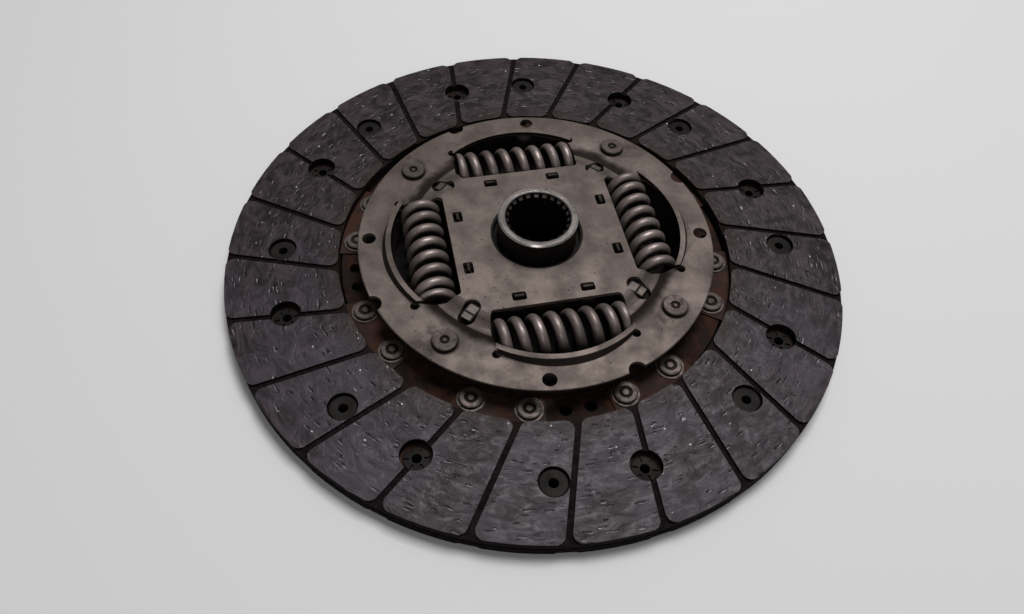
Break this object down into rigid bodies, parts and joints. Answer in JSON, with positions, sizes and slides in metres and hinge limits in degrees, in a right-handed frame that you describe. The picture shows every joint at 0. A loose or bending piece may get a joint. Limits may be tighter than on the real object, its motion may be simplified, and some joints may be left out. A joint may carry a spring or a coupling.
{
  "type": "clutch disc",
  "caption": "Sprung clutch disc: splined hub in a four-spring torsional damper, carrying a ring of waved segments with two riveted friction facings.",
  "frame": {"origin": "on the disc's axis, in the plane of the flywheel-side facing's working face, which the disc lies on", "axes": "+Z along the axis towards the gearbox side; +X and +Y across the disc, with one spring window 16.45 degrees counter-clockwise from +X"},
  "size_m": [0.24, 0.24, 0.026],
  "materials": {
    "friction_lining": "worn pressed friction lining, dark grey-brown with bright brass flecks",
    "browned_steel": "dull pressed and spring steel under brown oil dirt and light rust",
    "rivet_steel": "satin rivet steel",
    "plate_steel": "pressed steel, oily and slightly pitted",
    "spring_steel": "dark oil-hardened spring steel",
    "hub_steel": "machined steel, bright top face and dark barrel",
    "moulded_friction": "dark moulded bush and friction washer"
  },
  "bodies": {
    "disc": {"facing_gearbox_side": "friction_lining", "facing_flywheel_side": "friction_lining", "facing_rivets_gearbox_side": "rivet_steel", "facing_rivets_flywheel_side": "rivet_steel", "cushion_segment_1": "browned_steel", "cushion_segment_2": "browned_steel", "cushion_segment_3": "browned_steel", "cushion_segment_4": "browned_steel", "cushion_segment_5": "browned_steel", "cushion_segment_6": "browned_steel", "cushion_segment_7": "browned_steel", "cushion_segment_8": "browned_steel", "segment_rivets": "rivet_steel", "drive_plate": "browned_steel", "retainer_plate": "plate_steel", "stop_rivet_1": "rivet_steel", "stop_rivet_2": "rivet_steel", "stop_rivet_3": "rivet_steel", "stop_rivet_4": "rivet_steel", "centring_bush_gearbox_side": "moulded_friction", "centring_bush_flywheel_side": "moulded_friction", "friction_ring": "plate_steel", "disc_spring": "spring_steel", "friction_washer_flywheel_side": "moulded_friction"},
    "damper_springs": {"damper_spring_1": "spring_steel", "damper_spring_2": "spring_steel", "damper_spring_3": "spring_steel", "damper_spring_4": "spring_steel"},
    "hub": {"splined_hub": "hub_steel", "hub_flange": "hub_steel"}
  },
  "joints": [
    {"name": "hub_twist", "type": "hinge", "parent": "disc", "child": "hub", "pos_m": [0, 0, 0.0106], "axis": [0, 0, 1], "range_deg": [-8, 8], "stiffness_Nm_per_rad": 20},
    {"name": "spring_shift", "type": "hinge", "parent": "disc", "child": "damper_springs", "pos_m": [0, 0, 0.0106], "axis": [0, 0, 1], "range_deg": [-4, 4], "deforming": ["damper_spring_1", "damper_spring_2", "damper_spring_3", "damper_spring_4"]}
  ],
  "couplings": [
    {"joint": "spring_shift", "follows": "hub_twist", "ratio": 0.5}
  ]
}
